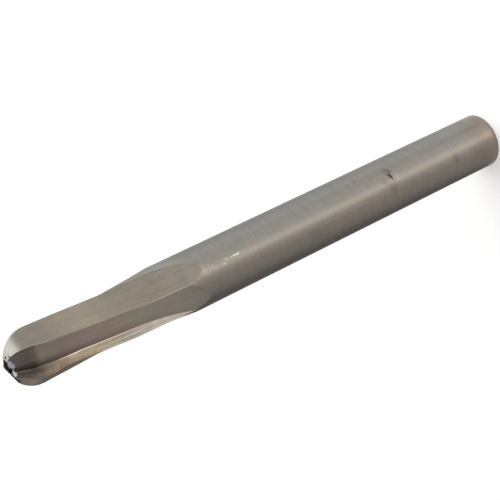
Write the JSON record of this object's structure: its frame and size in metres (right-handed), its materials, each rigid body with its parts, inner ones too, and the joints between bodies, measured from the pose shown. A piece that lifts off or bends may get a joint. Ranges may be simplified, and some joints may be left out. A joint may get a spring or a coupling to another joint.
{
  "type": "rotary burr",
  "caption": "Slim one-piece rotary burr: a plain round shank for a collet or chuck, running into a short head with wide twisted ground teeth and a ball nose",
  "frame": {"origin": "centre of the flat shank end, which the burr stands on", "axes": "+Z along the burr from the shank end to the ball nose; -Z is the way a collet or chuck leaves the shank"},
  "size_m": [0.006, 0.006, 0.06],
  "materials": {
    "ground_carbide": "fine ground bare metal, satin on the shank, with lengthwise grinding lines on the teeth"
  },
  "bodies": {
    "root": {"burr": "ground_carbide"}
  },
  "joints": []
}
